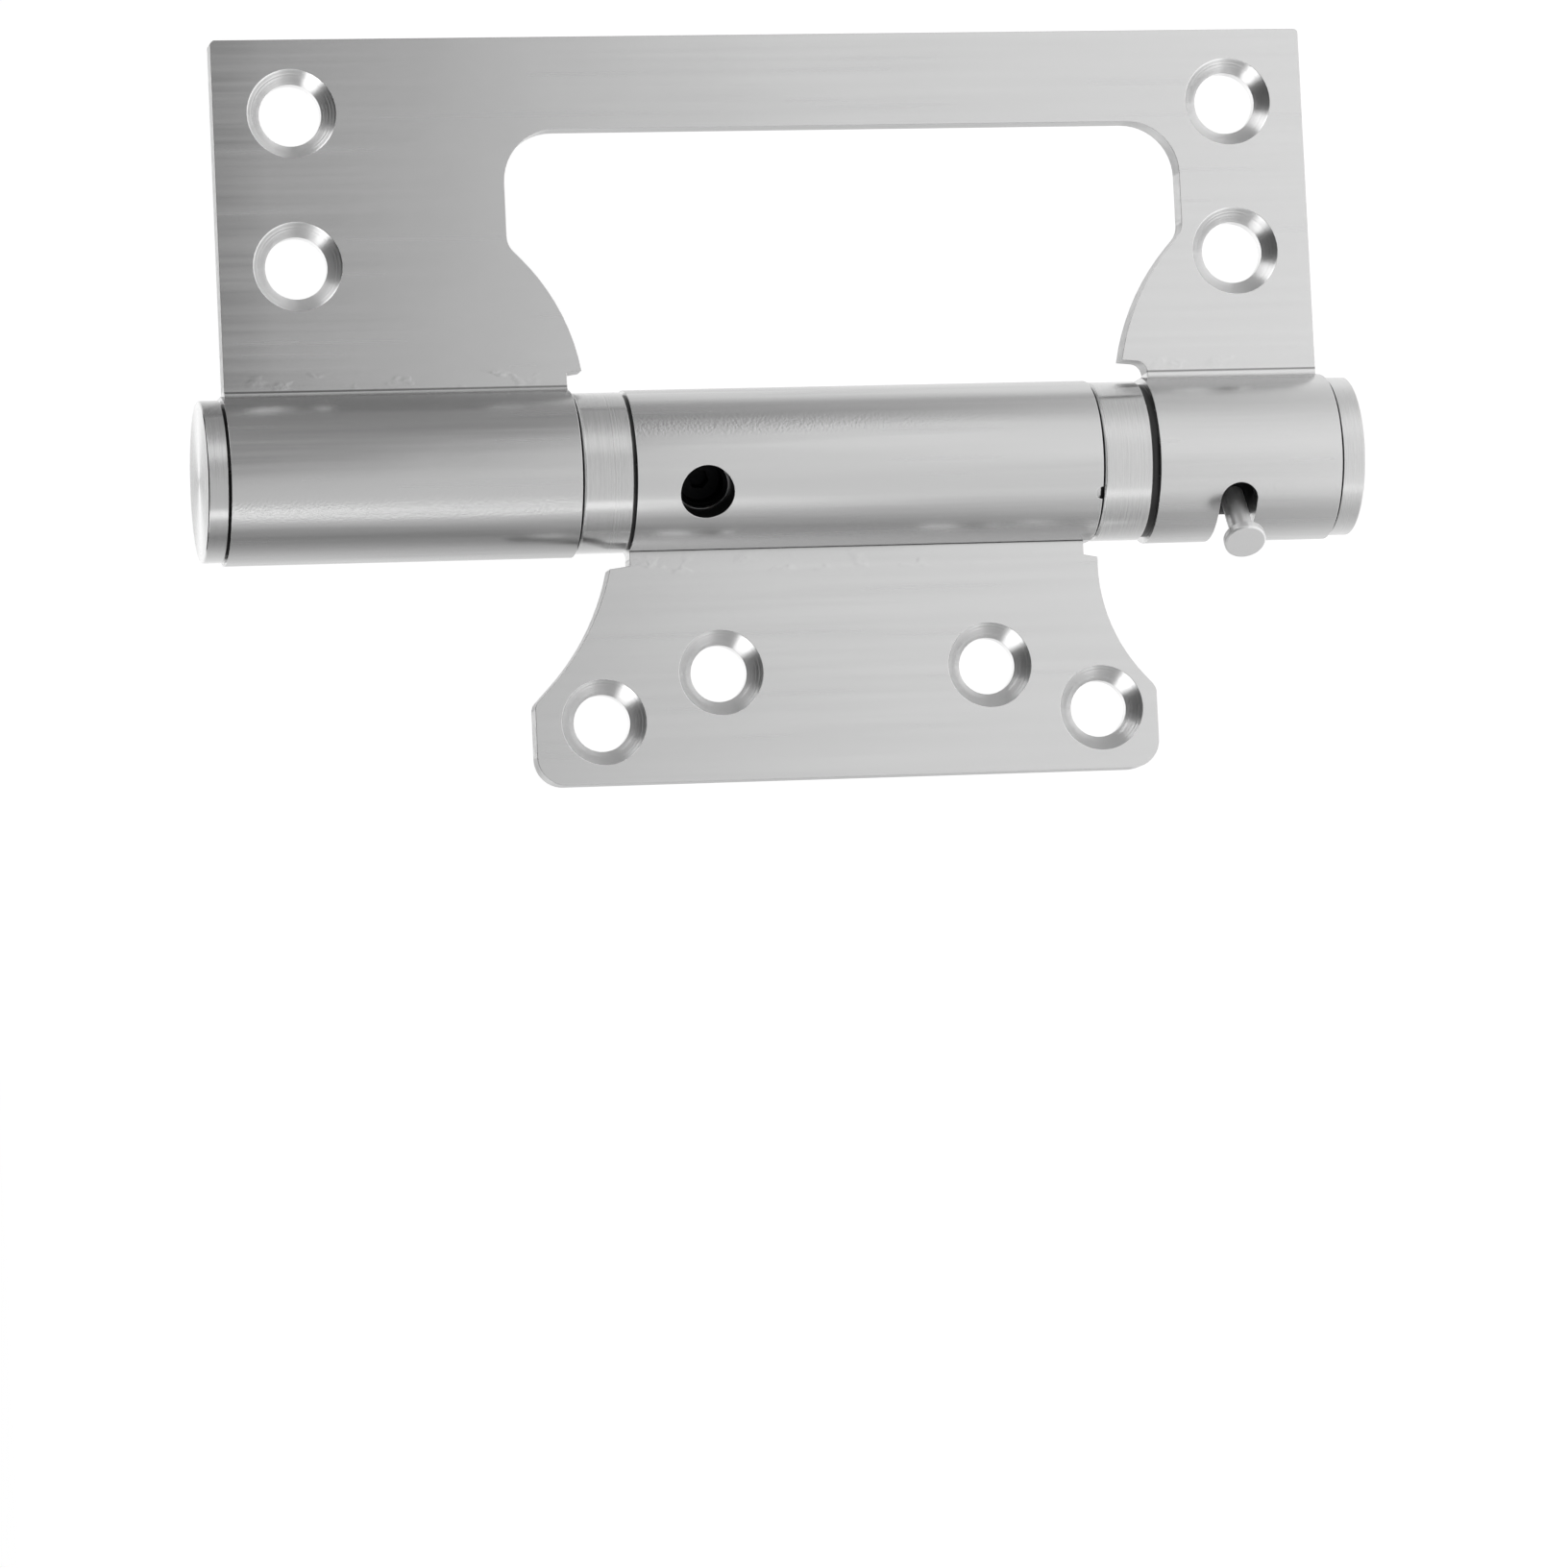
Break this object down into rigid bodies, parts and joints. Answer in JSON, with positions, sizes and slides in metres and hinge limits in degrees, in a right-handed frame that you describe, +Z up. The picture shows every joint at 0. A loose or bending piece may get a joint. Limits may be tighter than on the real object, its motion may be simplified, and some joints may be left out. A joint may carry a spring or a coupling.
{
  "type": "soft-close door hinge",
  "caption": "Nested-leaf stainless door hinge, flat open: U-shaped outer leaf, flared inner leaf, barrel with turned collars, tension pin in a slot and a damper inside.",
  "frame": {"origin": "centre of the lower end cap's face, on the pin axis", "axes": "+Z up along the pin as the hinge is installed, +X across the outer leaf from the pin, countersunk faces towards -Y"},
  "size_m": [0.0843, 0.0203, 0.1313],
  "materials": {
    "brushed_stainless": "satin, brushed along the pin",
    "turned_stainless": "fine turned",
    "machined_steel": "as machined",
    "pin_steel": "tumbled",
    "spring_steel": "oiled",
    "hardened_steel": "ground",
    "black_oxide": "black oxide",
    "black_acetal": "moulded",
    "white_ptfe": "moulded",
    "seal_rubber": "moulded"
  },
  "bodies": {
    "outer_leaf": {"outer_leaf": "brushed_stainless", "lower_end_cap": "turned_stainless", "upper_end_cap": "turned_stainless", "lower_thrust_washer": "black_acetal", "upper_thrust_washer": "black_acetal", "upper_bearing_ring": "turned_stainless", "shaft_seal": "seal_rubber", "gland_seal": "seal_rubber", "damper_cylinder": "machined_steel", "cylinder_plug": "machined_steel", "plug_seal": "seal_rubber", "filler_screw": "black_oxide"},
    "inner_leaf": {"inner_leaf": "brushed_stainless", "lower_bearing_ring": "turned_stainless", "spring_sleeve": "machined_steel", "damper_spindle": "machined_steel", "lock_screw": "black_oxide", "torsion_spring": "spring_steel"},
    "damper_piston": {"damper_piston": "machined_steel", "drive_pin": "hardened_steel", "piston_seal": "white_ptfe", "check_ball": "hardened_steel", "ball_retainer": "turned_stainless"},
    "tension_drum": {"tension_drum": "machined_steel"},
    "tension_pin": {"tension_pin": "pin_steel"}
  },
  "joints": [
    {"name": "leaf_swing", "type": "hinge", "parent": "outer_leaf", "child": "inner_leaf", "pos_m": [0, 0, 0], "axis": [0, 0, 1], "range_deg": [0, 180], "deforming": ["torsion_spring"]},
    {"name": "piston_stroke", "type": "slide", "parent": "outer_leaf", "child": "damper_piston", "axis": [0, 0, 1], "range_m": [0, 0.0072]},
    {"name": "drum_turn", "type": "hinge", "parent": "outer_leaf", "child": "tension_drum", "pos_m": [0, 0, 0], "axis": [0, 0, 1], "range_deg": [-100, 16], "deforming": ["torsion_spring"]},
    {"name": "pin_pull", "type": "slide", "parent": "tension_drum", "child": "tension_pin", "axis": [-0.7547, -0.6561, 0], "range_m": [0, 0.008]}
  ],
  "couplings": [
    {"joint": "piston_stroke", "follows": "leaf_swing", "m_per_rad": 0.0022918}
  ]
}
